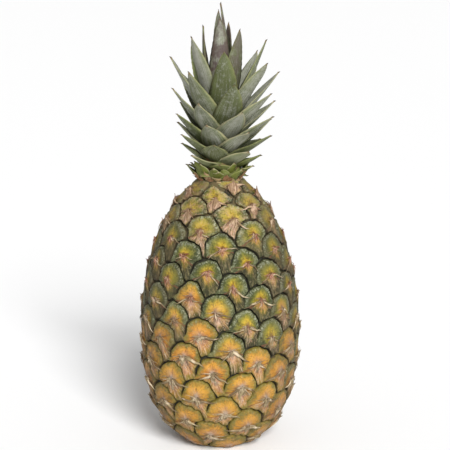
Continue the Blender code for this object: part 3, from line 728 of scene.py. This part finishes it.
rng = np.random.default_rng(29)
leaf_points, leaf_faces, leaf_place, leaf_kind = [], [], [], []
up = np.array((0.0, 0.0, 1.0))
q = np.linspace(-1, 1, LEAF_COLUMNS)[None, :]
t = np.linspace(0, 1, LEAF_ROWS)[:, None] ** 0.9
for index in range(LEAF_COUNT + SCALE_COUNT + SMALL_COUNT):
    large = index < LEAF_COUNT
    dry = float(LEAF_COUNT <= index < LEAF_COUNT + SCALE_COUNT)
    age = index / (LEAF_COUNT - 1) if large else 0.0
    azimuth = FIRST_LEAF_AZIMUTH - index * LEAF_TURN
    out = np.array((math.sin(azimuth), -math.cos(azimuth), 0.0))
    across = np.array((math.cos(azimuth), math.sin(azimuth), 0.0))
    tone, roll, sway = rng.uniform(0, 1), rng.normal(0, 0.10), rng.normal(0, 0.0012)
    broad, wave, phase = rng.uniform(0.94, 1.08), rng.uniform(0.3, 1.0) * LEAF_WAVE, rng.uniform(0, 6.28)
    if large:
        width = np.interp(age, AGES, LEAF_WIDTHS) * broad
        root_height = LOWEST_ROOT + ROOT_RISE * age
        stem_radius = STEM_RADIUS + (STEM_TOP_RADIUS - STEM_RADIUS) * root_height / STEM_HEIGHT
        root = out * stem_radius * ROOT_SHARE + up * (crown_foot + root_height)
        tip = out * np.interp(age, AGES, TIP_RADII) + up * (crown_foot + np.interp(age, AGES, TIP_HEIGHTS))
        tip[0] += CROWN_LEAN * 4 * age * (1 - age)
        taper = np.interp(age, TAPER_AGES, TAPERS)
    else:
        lengths, widths = (SCALE_LENGTHS, SCALE_WIDTHS) if dry else (SMALL_LENGTHS, SMALL_WIDTHS)
        length, width, taper = rng.uniform(*lengths), rng.uniform(*widths), SMALL_TAPER
        band = SCALE_BAND if dry else SMALL_BAND
        root = out * SCALE_ROOT + up * (crown_foot - SCALE_DROP * dry + band * rng.uniform(0, 1))
        tip = root + out * length * rng.uniform(0.55, 0.9) + up * length * rng.uniform(0.15, 0.8)
    bend = root + (tip - root) * 0.5 + (up * LEAF_BOW + out * LEAF_SPREAD) * np.linalg.norm(tip - root)
    centre = root * (1 - t) ** 2 + bend * 2 * t * (1 - t) + tip * t**2
    centre = centre + across * sway * np.sin(math.pi * t)
    along = (bend - root) * (1 - t) + (tip - bend) * t
    along /= np.linalg.norm(along, axis=1)[:, None]
    back = np.cross(along, across)
    back *= np.sign(back @ out)[:, None]
    flat = across * np.cos(roll * t) + back * np.sin(roll * t)
    back = back * np.cos(roll * t) - across * np.sin(roll * t)
    half = width / 2 * (1 - t**taper) ** TAPER_POWER
    keel = half * CHANNEL * (2 - t)
    thick = LEAF_THICKNESS * (1 - 0.4 * t) * (1 - 0.6 * dry)
    teeth = 1 + TOOTH * (np.abs(q) == 1) * (np.arange(LEAF_ROWS)[:, None] % 2) * (t > TEETH_FROM)
    sag = wave * np.sin(3 * math.pi * t + phase) * q
    sides, places, faces = [], [], []
    for inner in (0, 1):
        arch = keel * (1 - np.abs(q) ** 1.7) - inner * thick * np.sqrt(np.maximum(1 - q**2, 0)) ** 0.7 + sag
        block = flat[:, None, :] * (half * q * teeth)[:, :, None] + back[:, None, :] * arch[:, :, None]
        order = slice(-2, 0, -1) if inner else slice(None)
        sides.append((centre[:, None, :] + block)[:, order])
        places.append((q + 0 * t)[:, order])
        faces.append((inner + 0 * q + 0 * t)[:, order])
    ring, place, face = (np.concatenate(blocks, 1) for blocks in (sides, places, faces))
    columns = ring.shape[1]
    start = sum(len(block) for block in leaf_points)
    last, point = start + (LEAF_ROWS - 1) * columns, start + LEAF_ROWS * columns
    leaf_points += [ring.reshape(-1, 3), (tip + along[-1] * POINT_LENGTH)[None, :]]
    leaf_place += [np.stack([place, t + 0 * place, face], -1).reshape(-1, 3), np.array([[0, 1.1, 0]])]
    leaf_kind.append(np.full((LEAF_ROWS * columns + 1, 3), (age, tone, dry)))
    leaf_faces += grid_faces(LEAF_ROWS, columns, start)
    leaf_faces.append(tuple(range(start, start + columns))[::-1])
    leaf_faces += [(last + side, last + (side + 1) % columns, point) for side in range(columns)]

leaf_finish = new_material("leaf", Specular_IOR_Level=0.4)
on_leaf, kind = attribute(leaf_finish, "leaf_place"), attribute(leaf_finish, "leaf_kind")
place = place_of(leaf_finish)
side, reach = on_leaf.part("X"), on_leaf.part("Y")
age, tone, dry = kind.parts()
streaks = on_leaf.times(LEAF_STREAKS).plus(kind.times(LEAF_SEED)).noise(1.0, 5.0, 0.65)
cloud = place.noise(LEAF_CLOUD_SCALE, 4.0, 0.6)
mottle = place.noise(LEAF_MOTTLE_SCALE, 4.0, 0.7)
fine = place.noise(LEAF_FINE_SCALE, 3.0, 0.7)
edge = (side * side) ** 0.5 + (cloud - 0.5) * 0.16
waxy = (streaks * 0.50 + cloud * 0.25 + fine * 0.25 + (tone - 0.5) * 0.20).step(0.40, 0.60)
colour = waxy.mix(LEAF_GREEN, LEAF_GREY)
colour = ((mottle * 0.7 + streaks * 0.3).step(0.52, 0.64) * 0.45).mix(colour, LEAF_WAX)
colour = ((1 - (mottle * 0.6 + streaks * 0.4).step(0.38, 0.48)) * 0.5).mix(colour, LEAF_GREEN)
colour = ((1 - age.step(0.02, 0.36)) * (0.70 + 0.3 * tone)).mix(colour, LEAF_FRESH)
colour = (edge.step(0.45, 0.85) * (cloud * 0.6 + streaks * 0.4).step(0.36, 0.60) * 0.6).mix(colour, LEAF_SIDE)
colour = (edge.step(0.84, 1.0) * (0.25 + 0.6 * cloud)).mix(colour, LEAF_EDGE)
scurf = (edge.step(0.80, 1.0) * 0.6 + reach.step(0.86, 1.0) * 0.7) * (cloud * 0.5 + tone * 0.5).step(0.40, 0.62)
colour = (scurf * (1 - age.step(0.5, 0.9)) * 0.8).mix(colour, LEAF_SCURF)
# Painted shade at the foot of each leaf, where the leaves overlap, deeper on the inner leaves.
painted_root_shade = 1 - (reach + (streaks - 0.5) * 0.4).step(0.08, 0.45)
colour = (painted_root_shade * (0.25 + 0.5 * age)).mix(colour, LEAF_ROOT_SHADE)
colour = (age.step(0.84, 0.95) * cloud.step(0.35, 0.6) * 0.85).mix(colour, LEAF_PURPLE)
colour = ((reach + (cloud - 0.5) * 0.12).step(0.95, 1.0) * 0.8).mix(colour, LEAF_TIP)
dried = (streaks * 0.6 + tone * 0.4).step(0.4, 0.65).mix(LEAF_DRY, LEAF_DRY_PALE)
colour = (dry * (0.6 + 0.4 * streaks)).mix(colour, dried)
wire(leaf_finish, colour, 0.58 + 0.2 * cloud, streaks * 0.6 + fine * 0.3, LEAF_RELIEF)
leaves = new_piece("crown_leaves", np.concatenate(leaf_points), leaf_faces, leaf_finish, {
    "leaf_place": np.concatenate(leaf_place),
    "leaf_kind": np.concatenate(leaf_kind),
})
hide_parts("crown")
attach(leaves, "root")

# The crown's stem. The leaves grow round it, so only its foot shows: a dry, brown and green collar between the
# last small eyes and the lowest leaves, where the stem comes out of the fruit.
STEM_RINGS, STEM_SIDES, STEM_RIDGES, RIDGE_SHARE = 14, 48, 13, 0.03
STEM_FIBRE_SCALE, STEM_CLOUD_SCALE, STEM_RELIEF = 900.0, 160.0, 0.0008
COLLAR_BROWN, COLLAR_GREEN = (0.20, 0.105, 0.045), (0.14, 0.16, 0.05)

turns = turns_of(STEM_SIDES)
stem_points = []
for ring in range(STEM_RINGS):
    share = ring / (STEM_RINGS - 1)
    radius = STEM_RADIUS + (STEM_TOP_RADIUS - STEM_RADIUS) * share
    ridged = radius * (1 + RIDGE_SHARE * np.sin(STEM_RIDGES * turns + 5 * share))
    stem_points.append(ring_of(ridged, turns, crown_foot + STEM_HEIGHT * share))
stem_faces = grid_faces(STEM_RINGS, STEM_SIDES)
stem_faces.append(tuple(range(STEM_SIDES))[::-1])
stem_faces.append(tuple(range((STEM_RINGS - 1) * STEM_SIDES, STEM_RINGS * STEM_SIDES)))
collar = new_material("collar")
place = place_of(collar)
fibres, cloud = place.times((1.0, 1.0, 0.25)).noise(STEM_FIBRE_SCALE, 4.0), place.noise(STEM_CLOUD_SCALE)
colour = cloud.step(0.4, 0.65).mix(COLLAR_BROWN, COLLAR_GREEN)
wire(collar, colour, 0.85 + 0.1 * fibres, fibres, STEM_RELIEF)
stem = new_piece("crown_stem", stem_points, stem_faces, collar)
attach(stem, "root")

# The floor, the light and the camera. The floor is plain and pale, a broad soft sun stands at the front, above and
# to the right, and the whole sky fills the shadows.
FLOOR_HALF, FLOOR_WHITE, SKY_STRENGTH = 60.0, (0.94, 0.94, 0.94, 1), 0.40
SUN_PLACE, SUN_ENERGY, SUN_SOFTNESS = Vector((0.32, -1.0, 0.72)), 3.9, math.radians(25)
CAMERA_PLACE, CAMERA_AIM, LENS = Vector((0, -0.8436, 0.3420)), Vector((0.0037, 0, 0.1670)), 91.7

pale_floor = new_material("floor", Base_Color=FLOOR_WHITE, Roughness=0.8)
corners = FLOOR_HALF * np.array([(-1, -1, 0), (1, -1, 0), (1, 1, 0), (-1, 1, 0)])
floor = new_piece("floor", corners, [(0, 1, 2, 3)], pale_floor)
world = bpy.data.worlds.new("studio")
world.use_nodes = True
sky = world.node_tree.nodes["Background"]
sky.inputs["Color"].default_value, sky.inputs["Strength"].default_value = (1, 1, 1, 1), SKY_STRENGTH
bpy.context.scene.world = world
bpy.context.scene.view_settings.view_transform = "Standard"
sun = bpy.data.lights.new("sun", "SUN")
sun.energy, sun.angle = SUN_ENERGY, SUN_SOFTNESS
lamp = bpy.data.objects.new("sun", sun)
lamp.rotation_euler = (-SUN_PLACE).to_track_quat("-Z", "Y").to_euler()
bpy.context.scene.collection.objects.link(lamp)
camera = bpy.data.objects.new("camera", bpy.data.cameras.new("camera"))
camera.location = CAMERA_PLACE
camera.rotation_euler = (CAMERA_AIM - CAMERA_PLACE).to_track_quat("-Z", "Y").to_euler()
camera.data.lens = LENS
bpy.context.scene.collection.objects.link(camera)
bpy.context.scene.camera = camera
